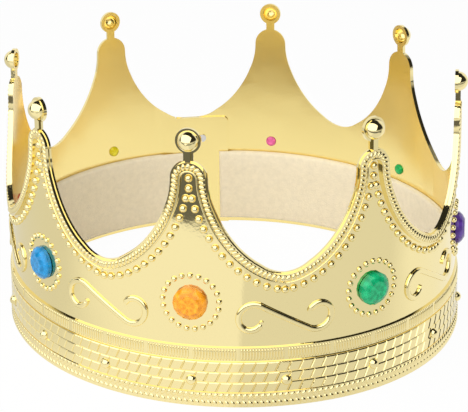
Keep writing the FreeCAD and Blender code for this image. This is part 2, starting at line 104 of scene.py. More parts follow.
class CrownReliefSettings(bpy.types.PropertyGroup):
    """Raised ornament of the strip."""
    bead_inset: length("Bead inset", "Bead row from the cut edge", 7.1)
    bead_width: length("Bead width", "Width of a bead in the rows", 3.2)
    bead_dome: number("Bead dome", "Height of a bead as a share of its width", 0.48)
    beads_in_bay: count("Beads in a bay", "Beads of a row between two points", 27)
    bead_first: length("First pair height", "Height of the first pair of beads under the single ones", 87.2)
    head_beads_top: length("Top bead height", "Upper single bead in the head of a point", 95.3)
    head_beads_low: length("Second bead height", "Lower single bead in the head of a point", 91.2)
    border_rope_inset: length("Rope inset", "Middle of the rope border from the cut edge", 2.15)
    border_rope_width: length("Rope width", "Width of the rope border", 2.9)
    border_line_inset: length("Line inset", "Fine line along the inside of the border", 3.95)
    border_line_width: length("Line width", "Width of that fine line", 0.7)
    border_rope_pitch: length("Rope pitch", "Spacing of the strands of the border", 1.75)
    border_rope_slant: angle("Rope slant", "Slant of the strands of the border", -32.0)
    border_rope_sink: length("Rope sink", "How deep the strands lie in the border", 0.25)
    strand_rise: length("Strand rise", "How far a strand stands up, here and in the base", 0.75)
    border_relief: length("Border relief", "How far the border stands off the wall", 1.3)
    border_line_rise: length("Line rise", "How far the fine line stands off the border", 0.35)
    gem_height: length("Gem height", "Centre of a gem", 44.3)
    gem_ring_radius: length("Gem ring radius", "Circle of beads round a gem", 11.3)
    gem_ring_beads: count("Gem ring beads", "Beads round a gem", 21)
    gem_ring_bead_width: length("Gem ring bead", "Width of a bead round a gem", 2.45)
    scroll_height: length("Scroll height", "Centre of the scroll below a valley", 37.9)
    scroll_reach: length("Scroll reach", "From the centre of the scroll to the centre of a loop", 12.4)
    scroll_loop: length("Scroll loop", "Outer bend of a scroll loop", 6.1)
    scroll_curl: length("Scroll curl", "Inner bend of a scroll loop", 4.6)
    scroll_join: angle("Scroll join", "Angle on a loop where the outer bend runs into the inner", 10.0)
    scroll_end: angle("Scroll end", "Angle on a loop where the inner bend ends", 158.0)
    scroll_width: length("Scroll width", "Width of the rounded scroll line", 2.54)
    scroll_rise: length("Scroll rise", "How far the scroll line stands off the wall", 1.15)
    rope_strands: count("Rope strands", "Strands of a base rope row for each point", 32)
    rope_row_height: length("Rope row", "Height of one of the two base rope rows", 3.1)
    rope_relief: length("Rope relief", "How far the base rope stands off the wall", 1.0)
    rope_sink: length("Base rope sink", "How deep its strands lie in the base rope", 0.3)
    rope_slant: angle("Base rope slant", "Slant of the strands, the other way in the upper row", 38.0)
    brick_top: length("Brick top", "Top of the three brick rows", 19.5)
    brick_low: length("Brick bottom", "Bottom of the three brick rows", 6.2)
    brick_count: count("Bricks", "Bricks in a row for each point", 16)
    brick_relief: length("Brick relief", "How far the brick rows stand off the wall", 0.6)
    brick_sink: length("Brick sink", "How deep a brick lies in its row", 0.05)
    brick_rise: length("Brick rise", "How far a brick or a reed stands up", 0.45)
    brick_slant: number("Brick slant", "Sideways lean of the joints over a row's height", 0.42)
    reed_low: length("Reed bottom", "Bottom of the reeded row", 20.2)
    reed_top: length("Reed top", "Top of the reeded row", 25.8)
    reed_count: count("Reeds", "Ribs of a reeded group", 15)
    reed_gap: length("Reed gap", "Smooth gap between reeded groups", 2.6)
    reed_relief: length("Reed relief", "How far the reeded row stands off the wall", 0.8)
    reed_sink: length("Reed sink", "How deep a reed lies in its row", 0.1)


class CrownGemSettings(bpy.types.PropertyGroup):
    """Gems and their colours."""
    radius: length("Radius", "Radius of a gem at its girdle", 6.85)
    table_radius: length("Table radius", "Radius of the flat table", 3.9)
    girdle: length("Girdle", "Height of the upright side", 1.5)
    crown: length("Crown", "Height of the sloping facets", 2.3)
    bulge: length("Bulge", "How far the middle of the facets stands out", 0.25)
    sides: count("Sides", "Sides of a gem", 16)
    seat: length("Seat", "Glue line between a gem and the wall", 0.05)
    peg_radius: length("Peg radius", "Radius of the peg at the back", 2.4)
    peg_proud: length("Peg proud", "How far a peg stands out inside the crown", 1.4)
    yellow: colour("Yellow", "Gem beside the seam", (0.90, 0.74, 0.01))
    red: colour("Red", "Gem at the rear left", (0.66, 0.02, 0.02))
    blue: colour("Blue", "Gem at the left", (0.004, 0.25, 0.56))
    orange: colour("Orange", "Gem at the front", (0.98, 0.34, 0.010))
    green: colour("Green", "Gem at the front right", (0.002, 0.42, 0.16))
    purple: colour("Purple", "Gem at the right", (0.10, 0.03, 0.32))
    emerald: colour("Emerald", "Gem at the rear right", (0.0, 0.46, 0.10))
    pink: colour("Pink", "Gem at the back", (0.90, 0.14, 0.40))


class CrownFoamSettings(bpy.types.PropertyGroup):
    """Foam liner."""
    low: length("Bottom", "Bottom edge of the foam", 2.5)
    high: length("Top", "Top edge of the foam", 38.7)
    thickness: length("Thickness", "Thickness of the foam", 3.0)
    near_end: length("Near end", "Foam end on the side of the lapped tab", 14.5)
    far_end: length("Far end", "Foam end on the other side", 3.6)
    glue: length("Glue line", "Room between the foam and the wall", 0.15)
    tab_room: length("Tab room", "Room in the foam past the end of the lapped tab", 1.0)
    ramp: length("Ramp", "Length over which the foam bends over the tab", 2.0)
    foam_colour: colour("Foam colour", "Cream foam", (0.87, 0.78, 0.60))


class CrownStageSettings(bpy.types.PropertyGroup):
    """Studio and camera."""
    azimuth: angle("Azimuth", "Direction of the camera in plan", -101.54)
    elevation: angle("Elevation", "Height angle of the camera", 22.459)
    roll: angle("Roll", "Turn of the camera about its own axis", -0.615)
    distance: length("Distance", "Camera from its target", 666.1)
    target_height: length("Target height", "Height of the camera's target", 46.63)
    target_right: length("Target right", "Target to the right of the middle", 0.845)
    focal_pixels: number("Focal length in pixels", "Focal length at the photograph's width", 1504.4)
    softbox_azimuth: angle("Softbox azimuth", "Direction of the large softbox in plan", -130.0)
    softbox_elevation: angle("Softbox elevation", "Height angle of the softbox", 40.0)
    softbox_distance: length("Softbox distance", "Softbox from the crown", 800.0)
    softbox_width: length("Softbox width", "Long side of the softbox", 1900.0)
    softbox_height: length("Softbox height", "Short side of the softbox", 1160.0)
    softbox_watts: number("Softbox power", "Power of the softbox in watts", 12.0)
    fill: number("Fill", "Brightness of the room on matt surfaces", 0.38)
    # The white sheet and the dark strip beyond it show only in the gold: a painted reflection, since the
    # floor glows in this pattern for glossy rays alone.
    painted_dark_strip_edge: length("Table edge", "Edge of the white sheet in front of the crown, from its middle", 284.0)
    painted_dark_strip_width: length("Table gap", "Dark strip beyond that edge", 260.0)


def strip():
    return bpy.context.scene.crown_strip


def relief():
    return bpy.context.scene.crown_relief


# Places on the bent strip
def pitch():
    return (2 * math.pi * strip().rim_radius - strip().seam_extra) / strip().points


def rim_place(arc):
    """Point and outward direction of the oval rim at a length anticlockwise from the seam."""
    mean = strip().rim_radius
    squeeze = mean * strip().oval
    shift = 2 * squeeze / (2 - math.sqrt(2))
    radii = (mean + squeeze - shift, mean - squeeze + shift)
    start = (math.pi / 2 - strip().oval_angle) * mean + radii[0] * math.pi / 4
    run = (start + arc) % (2 * math.pi * mean)
    quarter = 0
    while run > radii[quarter % 2] * math.pi / 2 and quarter < 3:
        run -= radii[quarter % 2] * math.pi / 2
        quarter += 1
    direction = strip().oval_angle + quarter * math.pi / 2
    side = 1 if quarter % 2 == 0 else -1
    centre = Vector((math.cos(direction), math.sin(direction), 0)) * (shift * side)
    turn = direction - math.pi / 4 + run / radii[quarter % 2]
    out = Vector((math.cos(turn), math.sin(turn), 0))
    return centre + out * radii[quarter % 2], out


def on_arc(arc, height, proud=0.0):
    """Place on the outer face of the wall at a length from the seam: X along the strip, Y up, Z outwards."""
    rim, out = rim_place(arc)
    along = Vector((-out.y, out.x, 0.0))
    normal = (out + Vector((0, 0, strip().lean))).normalized()
    up = normal.cross(along)
    matrix = Matrix((along, up, normal)).transposed().to_4x4()
    matrix.translation = rim - out * (strip().lean * height) + Vector((0, 0, height)) + normal * proud
    return matrix


def on_point(index, across, height, proud=0.0):
    """Place at a distance across from the middle line of a point, as the flat outline is projected."""
    radius = strip().rim_radius
    centre = strip().seam_extra / 2 + pitch() * (index + 0.5)
    middle, out = rim_place(centre)
    along = Vector((-out.y, out.x, 0.0))
    sideways = radius * math.sin(across / radius)
    arc = centre + across
    for _ in range(4):
        rim, normal = rim_place(arc)
        arc += sideways - (rim - normal * (strip().lean * height) - middle).dot(along)
    return on_arc(arc, height, proud)


def scallop(inset, steps=48):
    """Cut edge from the head of a point down to the valley, moved into the strip by inset."""
    half_pitch = pitch() / 2
    width = half_pitch - strip().arch_radius
    drop = strip().arch_height - strip().valley_height
    power = 2.0 / strip().scallop_power
    places = []
    for step in range(steps + 1):
        turn = math.pi / 2 * step / steps
        across = half_pitch - width * max(math.cos(turn), 0.0) ** power
        height = strip().arch_height - drop * math.sin(turn) ** power
        into = Vector((-1.0, 0.0))
        if step == steps:
            into = Vector((0.0, -1.0))
        elif step:
            along = width * math.sin(turn) * math.cos(turn) ** (power - 1)
            down = drop * math.cos(turn) * math.sin(turn) ** (power - 1)
            into = Vector((-down, -along)).normalized()
        places.append((across + inset * into.x, height + inset * into.y))
    return places


def half_edge(inset, head_steps, steps):
    """Line at a distance from the cut edge, from the top of a point's head down to the valley."""
    radius = strip().arch_radius - inset
    head = []
    for step in range(head_steps + 1):
        turn = math.pi / 2 * (1 - step / head_steps)
        head.append((radius * math.cos(turn), strip().arch_height + radius * math.sin(turn)))
    return head + scallop(inset, steps)[1:]


# Mesh helpers
def new_object(label, mesh):
    made = bpy.data.objects.new(label, mesh)
    bpy.context.scene.collection.objects.link(made)
    return made


def mesh_object(label, made, smooth=False):
    """Object from a bmesh, which is freed."""
    for face in made.faces if smooth else []:
        face.smooth = True
    mesh = bpy.data.meshes.new(label)
    made.to_mesh(mesh)
    made.free()
    return new_object(label, mesh)


def walls(made, levels):
    """Side faces between closed rings of one count."""
    for low, high in zip(levels, levels[1:]):
        for step in range(len(low)):
            after = (step + 1) % len(low)
            made.faces.new((low[step], low[after], high[after], high[step]))


def finish_piece(piece, material=None):
    """Gives a finished piece its material and its place on the crown's one body."""
    if material:
        piece.data.materials.clear()
        piece.data.materials.append(material)
    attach(piece, "root")


def path_object(label, paths, closed=False):
    """Mesh of edges along lists of wall places, with the outward direction on each vertex."""
    corners, edges, outwards = [], [], []
    for path in paths:
        first = len(corners)
        for matrix in path:
            corners.append(matrix.translation)
            outwards.append(matrix.to_3x3().col[2].copy())
        edges += [(first + step, first + step + 1) for step in range(len(path) - 1)]
        if closed:
            edges.append((len(corners) - 1, first))
    mesh = bpy.data.meshes.new(label)
    mesh.from_pydata(corners, edges, [])
    attribute = mesh.attributes.new("outwards", "FLOAT_VECTOR", "POINT")
    attribute.data.foreach_set("vector", [value for vector in outwards for value in vector])
    return new_object(label, mesh)


def unit_ball(label, segments, rings):
    """Upper part of a ball one unit wide, standing a little below its own foot, for beads and strands."""
    made = bmesh.new()
    levels = []
    for ring in range(rings):
        rise = -0.35 + (math.pi / 2 + 0.35) * ring / rings
        circle = []
        for step in range(segments):
            turn = 2 * math.pi * step / segments
            circle.append(made.verts.new((
                0.5 * math.cos(rise) * math.cos(turn), 0.5 * math.cos(rise) * math.sin(turn), math.sin(rise),
            )))
        levels.append(circle)
    top = made.verts.new((0, 0, 1))
    walls(made, levels)
    for step in range(segments):
        made.faces.new((levels[-1][step], levels[-1][(step + 1) % segments], top))
    made.faces.new(reversed(levels[0]))
    return mesh_object(label, made, True)


def unit_pillow(label, slant, crest):
    """Block one unit wide and high with sloped sides, its top one unit up, leaning sideways."""
    made = bmesh.new()
    levels = []
    for half, height in ((0.5, -0.5), (0.5, 0.25), (crest, 1.0)):
        ring = []
        for x, y in ((-half, -half), (half, -half), (half, half), (-half, half)):
            ring.append(made.verts.new((x + slant * y, y, height)))
        levels.append(ring)
    walls(made, levels)
    made.faces.new(levels[-1])
    made.faces.new(reversed(levels[0]))
    return mesh_object(label, made)


# Node tree that sets one unit shape along paths
def fill(tree, made, inputs):
    """Fills the sockets of a node with values or links."""
    for key, value in inputs.items():
        if isinstance(value, bpy.types.NodeSocket):
            tree.links.new(value, made.inputs[key])
        else:
            made.inputs[key].default_value = value


def node(tree, kind, inputs=None, **settings):
    """Adds a node, sets its properties and fills its sockets."""
    made = tree.nodes.new(kind)
    for key, value in settings.items():
        setattr(made, key, value)
    fill(tree, made, inputs or {})
    return made


def row_tree():
    """Row of unit shapes along paths on the wall."""
    name = "row_on_wall"
    if name in bpy.data.node_groups:
        return bpy.data.node_groups[name]
    tree = bpy.data.node_groups.new(name, "GeometryNodeTree")
    sockets = (
        ("Paths", "NodeSocketGeometry"), ("Unit", "NodeSocketObject"), ("Count", "NodeSocketInt"),
        ("Along", "NodeSocketFloat"), ("Across", "NodeSocketFloat"), ("Height", "NodeSocketFloat"),
        ("Slant", "NodeSocketFloat"), ("Material", "NodeSocketMaterial"),
    )
    for label, kind in sockets:
        tree.interface.new_socket(label, in_out="INPUT", socket_type=kind)
    tree.interface.new_socket("Row", in_out="OUTPUT", socket_type="NodeSocketGeometry")
    given = node(tree, "NodeGroupInput").outputs
    curve = node(tree, "GeometryNodeMeshToCurve", {"Mesh": given["Paths"]})
    even = node(tree, "GeometryNodeResampleCurve", {"Curve": curve.outputs["Curve"], "Count": given["Count"]})
    outwards = node(tree, "GeometryNodeInputNamedAttribute", {"Name": "outwards"}, data_type="FLOAT_VECTOR")
    tangent = node(tree, "GeometryNodeInputTangent")
    seat = node(
        tree, "FunctionNodeAxesToRotation",
        {0: outwards.outputs["Attribute"], 1: tangent.outputs["Tangent"]},
        primary_axis="Z", secondary_axis="X",
    )
    spin = node(tree, "FunctionNodeAxisAngleToRotation", {"Axis": (0, 0, 1), "Angle": given["Slant"]})
    turned = node(
        tree, "FunctionNodeRotateRotation",
        {"Rotation": seat.outputs["Rotation"], "Rotate By": spin.outputs["Rotation"]}, rotation_space="LOCAL",
    )
    scale = node(
        tree, "ShaderNodeCombineXYZ", {"X": given["Along"], "Y": given["Across"], "Z": given["Height"]},
    )
    unit = node(tree, "GeometryNodeObjectInfo", {"Object": given["Unit"]})
    copies = node(tree, "GeometryNodeInstanceOnPoints", {
        "Points": even.outputs["Curve"], "Instance": unit.outputs["Geometry"],
        "Rotation": turned.outputs["Rotation"], "Scale": scale.outputs["Vector"],
    })
    real = node(tree, "GeometryNodeRealizeInstances", {"Geometry": copies.outputs["Instances"]})
    painted = node(
        tree, "GeometryNodeSetMaterial",
        {"Geometry": real.outputs["Geometry"], "Material": given["Material"]},
    )
    node(tree, "NodeGroupOutput", {"Row": painted.outputs["Geometry"]})
    return tree


def row(label, paths, unit, closed=False, **values):
    """Plain mesh piece in gold, made by the row tree."""
    carrier = path_object(label + "_path", paths, closed)
    modifier = carrier.modifiers.new("row", "NODES")
    modifier.node_group = row_tree()
    values = {"Unit": unit, "Material": gold(), "Slant": 0.0, **values}
    for item in modifier.node_group.interface.items_tree:
        if item.in_out == "INPUT" and item.name in values:
            modifier[item.identifier] = values[item.name]
    bpy.context.view_layer.update()
    graph = bpy.context.evaluated_depsgraph_get()
    mesh = bpy.data.meshes.new_from_object(carrier.evaluated_get(graph), depsgraph=graph)
    mesh.name = label
    carrier.modifiers.remove(modifier)
    bpy.data.objects.remove(carrier)
    if not mesh.polygons:
        raise RuntimeError(label + " came out empty")
    finish_piece(new_object(label, mesh))


def ridge(label, paths, width, rise):
    """Rounded ridges on the wall along lists of its places, drawn out thin at both ends."""
    profile = []
    for part in range(9):
        turn = math.pi * part / 8
        across = math.copysign(abs(math.cos(turn)) ** 0.8, math.cos(turn))
        profile.append((across * width / 2, abs(math.sin(turn)) ** 0.8 * rise))
    profile += [(-0.45 * width, -0.3 * rise), (0.45 * width, -0.3 * rise)]
    made = bmesh.new()
    for path in paths:
        rings = []
        for step, matrix in enumerate(path):
            before = path[max(step - 1, 0)].translation
            after = path[min(step + 1, len(path) - 1)].translation
            out = matrix.to_3x3().col[2]
            side = out.cross((after - before).normalized())
            share = min(1.0, 0.55 + 0.25 * min(step, len(path) - 1 - step))
            ring = [matrix.translation + side * (across * share) + out * (height * share)
                    for across, height in profile]
            rings.append([made.verts.new(corner) for corner in ring])
        walls(made, rings)
        made.faces.new(rings[0])
        made.faces.new(reversed(rings[-1]))
    bmesh.ops.recalc_face_normals(made, faces=made.faces)
    return mesh_object(label, made, True)


# Materials
def new_material(name):
    """Material with an empty node tree but for a Principled shader and its output."""
    made = bpy.data.materials.new(name)
    made.use_nodes = True
    tree = made.node_tree
    tree.nodes.clear()
    shader = node(tree, "ShaderNodeBsdfPrincipled")
    node(tree, "ShaderNodeOutputMaterial", {"Surface": shader.outputs["BSDF"]})
    return made, tree, shader


def maths(tree, operation, first, second=0.0):
    return node(tree, "ShaderNodeMath", {0: first, 1: second}, operation=operation).outputs[0]


def dot(tree, first, second):
    made = node(tree, "ShaderNodeVectorMath", {0: first, 1: second}, operation="DOT_PRODUCT")
    return made.outputs["Value"]


def noise(tree, place, scale, detail, roughness=0.5):
    inputs = {"Vector": place, "Scale": scale, "Detail": detail, "Roughness": roughness}
    return node(tree, "ShaderNodeTexNoise", inputs).outputs["Fac"]


def bump(tree, height, strength, distance, under=None):
    """Bump from a height, over another one if there is one."""
    inputs = {"Strength": strength, "Distance": distance, "Height": height}
    if under is not None:
        inputs["Normal"] = under
    return node(tree, "ShaderNodeBump", inputs).outputs["Normal"]


def ramp(tree, value, low, low_colour, high, high_colour):
    """Colour that runs between two stops."""
    made = node(tree, "ShaderNodeValToRGB", {"Fac": value})
    stops = made.color_ramp.elements
    stops[0].position, stops[1].position = low, high
    stops[0].color, stops[1].color = (*low_colour, 1.0), (*high_colour, 1.0)
    return made.outputs["Color"]


def fade(tree, value, low, high, from_value, to_value):
    """Soft step of a value between two limits."""
    made = node(
        tree, "ShaderNodeMapRange",
        {"Value": value, "From Min": low, "From Max": high, "To Min": from_value, "To Max": to_value},
        interpolation_type="SMOOTHSTEP",
    )
    return made.outputs["Result"]


def gold():
    """Metallised gold: mirror outside, satin inside with a warmer colour that is painted warm bounce light
    between the gold walls, with the slight waves of a thin moulding.
    """
    if "crown_gold" in bpy.data.materials:
        return bpy.data.materials["crown_gold"]
    made, tree, shader = new_material("crown_gold")
    place = node(tree, "ShaderNodeTexCoord").outputs["Object"]
    flat_place = node(tree, "ShaderNodeVectorMath", {0: place, 1: (1, 1, 0)}, operation="MULTIPLY")
    radial = node(tree, "ShaderNodeVectorMath", {0: flat_place.outputs[0]}, operation="NORMALIZE")
    facing = node(tree, "ShaderNodeNewGeometry").outputs["Normal"]
    inside = maths(tree, "LESS_THAN", dot(tree, radial.outputs[0], facing), -0.5)
    # Inside faces take the warmer inside colour, which paints the warm bounce light between the gold walls;
    # their extra roughness is the real satin finish.
    tint = node(
        tree, "ShaderNodeMix", {0: inside, 6: (*strip().gold_outside, 1.0), 7: (*strip().gold_inside_painted_bounce, 1.0)},
        data_type="RGBA",
    )
    smear = noise(tree, place, 60.0, 4.0)
    rough = maths(tree, "ADD", maths(tree, "MULTIPLY", smear, 0.04), 0.035)
    rough = maths(tree, "ADD", rough, maths(tree, "MULTIPLY", inside, 0.16))
    waves = bump(tree, noise(tree, place, 42.0, 1.5, 0.45), 0.4, 0.0008)
    peel = bump(tree, noise(tree, place, 900.0, 2.0), 0.25, 0.00006, waves)
    fill(tree, shader, {"Base Color": tint.outputs[2], "Roughness": rough, "Normal": peel, "Metallic": 1.0})
    return made


def gem_material(name, value):
    """Clear tinted plastic over a bright foil; the lighter and darker wedges and rings in its colour are
    painted reflections of the foil's folds, over a random mottle.
    """
    made, tree, shader = new_material("gem_" + name)
    place = node(tree, "ShaderNodeUVMap", uv_map="gem_face").outputs["UV"]
    parts = node(tree, "ShaderNodeSeparateXYZ", {0: place})
    turn = maths(tree, "ARCTAN2", parts.outputs["Y"], parts.outputs["X"])
    # Painted reflection: lighter and darker wedges and rings that stand for light caught by the foil's folds;
    # the noise added after them is a random mottle.
    painted_fold_reflection = maths(tree, "SINE", maths(tree, "MULTIPLY", turn, 8.0))
    reach = node(tree, "ShaderNodeVectorMath", {0: place}, operation="LENGTH").outputs["Value"]
    rings = maths(tree, "SINE", maths(tree, "MULTIPLY", reach, 17.0))
    mixed = maths(tree, "ADD", maths(tree, "MULTIPLY", painted_fold_reflection, 0.10), maths(tree, "MULTIPLY", rings, 0.10))
    mixed = maths(tree, "ADD", mixed, noise(tree, place, 3.2, 2.0))
    dark = [channel * 0.72 for channel in value]
    bright = [min(1.0, channel * 1.2 + 0.01) for channel in value]
    fill(tree, shader, {
        "Base Color": ramp(tree, mixed, 0.30, dark, 0.78, bright), "Roughness": 0.25, "IOR": 1.5,
        "Specular IOR Level": 0.2, "Coat Weight": 0.5, "Coat Roughness": 0.02,
    })
    return made


def foam_material():
    """Open cream foam: fine cells, a soft mottle and no gloss."""
    made, tree, shader = new_material("liner_foam")
    value = bpy.context.scene.crown_foam.foam_colour
    place = node(tree, "ShaderNodeTexCoord").outputs["Object"]
    cells = node(tree, "ShaderNodeTexVoronoi", {"Vector": place, "Scale": 1500.0}).outputs["Distance"]
    mottle = noise(tree, place, 420.0, 4.0, 0.6)
    dark = [channel * 0.93 for channel in value]
    bright = [min(1.0, channel * 1.05) for channel in value]
    pores = bump(tree, cells, 0.5, 0.0002, bump(tree, mottle, 0.4, 0.0002))
    fill(tree, shader, {
        "Base Color": ramp(tree, mottle, 0.25, dark, 0.75, bright), "Roughness": 0.95,
        "Normal": pores, "Sheen Weight": 0.2,
    })
    return made


def steel():
    """Nickelled steel of the rivets, with a slight turning grain."""
    if "rivet_steel" in bpy.data.materials:
        return bpy.data.materials["rivet_steel"]
    made, tree, shader = new_material("rivet_steel")
    place = node(tree, "ShaderNodeTexCoord").outputs["Object"]
    wear = noise(tree, place, 1800.0, 3.0)
    fill(tree, shader, {
        "Base Color": ramp(tree, wear, 0.0, (0.62, 0.60, 0.57), 1.0, (0.82, 0.80, 0.77)),
        "Roughness": maths(tree, "ADD", maths(tree, "MULTIPLY", wear, 0.2), 0.15),
        "Normal": bump(tree, wear, 0.3, 0.00005), "Metallic": 1.0,
    })
    return made


# Operators
class CROWN_OT_shell(bpy.types.Operator):
    """Give the moulded shell its gold finish"""
    bl_idname = "crown.shell"
    bl_label = "Gold shell"

    def execute(self, context):
        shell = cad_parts["crown_shell"]
        shell.data.materials.clear()
        shell.data.materials.append(gold())
        return {"FINISHED"}


class CROWN_OT_bead_rows(bpy.types.Operator):
    """Bead rows under the cut edge, the beads in the heads and the rings round the gems"""
    bl_idname = "crown.bead_rows"
    bl_label = "Bead rows"

    def execute(self, context):
        sizes = relief()
        points = strip().points
        half = scallop(sizes.bead_inset, 96)
        half = [place for place in half if place[0] > 0 and place[1] < sizes.bead_first]
        bead = unit_ball("bead_unit", 12, 4)
        bays = []
        for index in range(points):
            after = (index + 1) % points
            right = [on_point(index, across, height) for across, height in half]
            left = [on_point(after, -across, height) for across, height in reversed(half)]
            bays.append(right + left)
        self.make("bead_rows", bays, bead, sizes.beads_in_bay, sizes.bead_width)
        heights = (sizes.head_beads_top, sizes.head_beads_low)
        heads = [[on_point(index, 0.0, height) for height in heights] for index in range(points)]
        self.make("head_beads", heads, bead, len(heights), sizes.bead_width)
        rings = []
        steps = sizes.gem_ring_beads * 4
        for index in range(points):
            circle = []
            for step in range(steps):
                turn = 2 * math.pi * step / steps + math.pi / 2
                across = sizes.gem_ring_radius * math.cos(turn)
                height = sizes.gem_height + sizes.gem_ring_radius * math.sin(turn)
                circle.append(on_point(index, across, height))
            rings.append(circle)
        self.make("gem_ring_beads", rings, bead, sizes.gem_ring_beads, sizes.gem_ring_bead_width, True)
        bpy.data.objects.remove(bead)
        return {"FINISHED"}

    def make(self, label, paths, bead, number_of, width, closed=False):
        row(
            label, paths, bead, closed, Count=number_of, Along=width, Across=width,
            Height=width * relief().bead_dome,
        )


class CROWN_OT_border_rope(bpy.types.Operator):
    """Slanted strands of the rope border along the cut edge"""
    bl_idname = "crown.border_rope"
    bl_label = "Border rope"

    def execute(self, context):
        sizes = relief()
        points = strip().points
        half = half_edge(sizes.border_rope_inset, 12, 96)
        run = sum(math.dist(a, b) for a, b in zip(half, half[1:]))
        strand = unit_ball("strand_unit", 10, 3)
        stand = sizes.border_relief - sizes.border_rope_sink
        rights, lefts = [], []
        for index in range(points):
            rights.append([on_point(index, across, height, stand) for across, height in half])
            lefts.append([on_point(index, -across, height, stand) for across, height in reversed(half)])
        row(
            "border_rope", rights + lefts, strand, Count=round(run / sizes.border_rope_pitch),
            Along=sizes.border_rope_pitch * 1.05, Across=sizes.border_rope_width * 1.12,
            Height=sizes.strand_rise, Slant=sizes.border_rope_slant,
        )
        bpy.data.objects.remove(strand)
        half = half_edge(sizes.border_line_inset, 8, 60)
        whole = [(-across, height) for across, height in reversed(half[1:])] + half
        lines = []
        for index in range(points):
            lines.append([on_point(index, across, height, sizes.border_relief) for across, height in whole])
        line = ridge("border_line", lines, sizes.border_line_width, sizes.border_line_rise)
        finish_piece(line, gold())
        return {"FINISHED"}


class CROWN_OT_scrolls(bpy.types.Operator):
    """Rounded scroll in each bay but the one with the seam"""
    bl_idname = "crown.scrolls"
    bl_label = "Scrolls"

    def execute(self, context):
        sizes = relief()
        join, end = sizes.scroll_join, sizes.scroll_end
        start = -math.pi + math.acos(sizes.scroll_loop / sizes.scroll_reach)
        shift = sizes.scroll_loop - sizes.scroll_curl
        half = []
        for step in range(30):
            turn = start + (join - start) * step / 30
            across = sizes.scroll_reach + sizes.scroll_loop * math.cos(turn)
            half.append((across, sizes.scroll_loop * math.sin(turn)))
        for step in range(25):
            turn = join + (end - join) * step / 24
            half.append((
                sizes.scroll_reach + shift * math.cos(join) + sizes.scroll_curl * math.cos(turn),
                shift * math.sin(join) + sizes.scroll_curl * math.sin(turn),
            ))
        middle = [(half[0][0] * part / 8, half[0][1] * part / 8) for part in range(8)]
        half = middle + half
        line = [(-across, -height) for across, height in reversed(half[1:])] + half
        line = [(across, sizes.scroll_height + height) for across, height in line]
        paths = []
        for index in range(strip().points - 1):
            paths.append([on_point(index + 0.5, across, height) for across, height in line])
        scrolls = ridge("scroll_lines", paths, sizes.scroll_width, sizes.scroll_rise)
        finish_piece(scrolls, gold())
        return {"FINISHED"}


class CROWN_OT_base_rows(bpy.types.Operator):
    """Rope rows, brick rows and reeded row of the base band"""
    bl_idname = "crown.base_rows"
    bl_label = "Base rows"

    def execute(self, context):
        sizes = relief()
        start = strip().lap_inner_start
        end = 2 * math.pi * strip().rim_radius + strip().lap_outer_end
        run = end - start

        def circle(height, proud, inset=0.0):
            steps = 360
            low, high = start + inset, end - inset
            return [on_arc(low + (high - low) * step / steps, height, proud) for step in range(steps + 1)]

        strand = unit_ball("strand_unit", 8, 3)
        spacing = pitch() / sizes.rope_strands
        stand = sizes.rope_relief - sizes.rope_sink
        for number_of, slant in ((0, sizes.rope_slant), (1, -sizes.rope_slant)):
            height = sizes.rope_row_height * (number_of + 0.5)
            row(
                f"base_rope_{number_of + 1}", [circle(height, stand, spacing)], strand,
                Count=round(run / spacing), Along=spacing * 0.86, Across=sizes.rope_row_height * 1.12,
                Height=sizes.strand_rise, Slant=slant,
            )
        bpy.data.objects.remove(strand)
        brick = unit_pillow("brick_unit", sizes.brick_slant, 0.43)
        spacing = pitch() / sizes.brick_count
        row_height = (sizes.brick_top - sizes.brick_low) / 3
        stand = sizes.brick_relief - sizes.brick_sink
        for number_of in range(3):
            height = sizes.brick_low + row_height * (number_of + 0.5)
            row(
                f"brick_row_{number_of + 1}", [circle(height, stand, spacing * 0.7)], brick,
                Count=round(run / spacing), Along=-spacing * 0.94, Across=-row_height * 0.93,
                Height=sizes.brick_rise,
            )
        bpy.data.objects.remove(brick)
        reed = unit_ball("reed_unit", 8, 3)
        middle = (sizes.reed_low + sizes.reed_top) / 2
        stand = sizes.reed_relief - sizes.reed_sink
        groups = []
        quarter = pitch() / 4
        for step in range(strip().points * 4):
            low = strip().seam_extra / 2 + quarter * step + sizes.reed_gap / 2
            high = low + quarter - sizes.reed_gap
            if low > start:
                groups.append([on_arc(low + (high - low) * part / 8, middle, stand) for part in range(9)])
        rib = (quarter - sizes.reed_gap) / sizes.reed_count
        row(
            "reeded_row", groups, reed, Count=sizes.reed_count, Along=rib * 0.98,
            Across=sizes.reed_top - sizes.reed_low, Height=sizes.brick_rise,
        )
        bpy.data.objects.remove(reed)
        return {"FINISHED"}


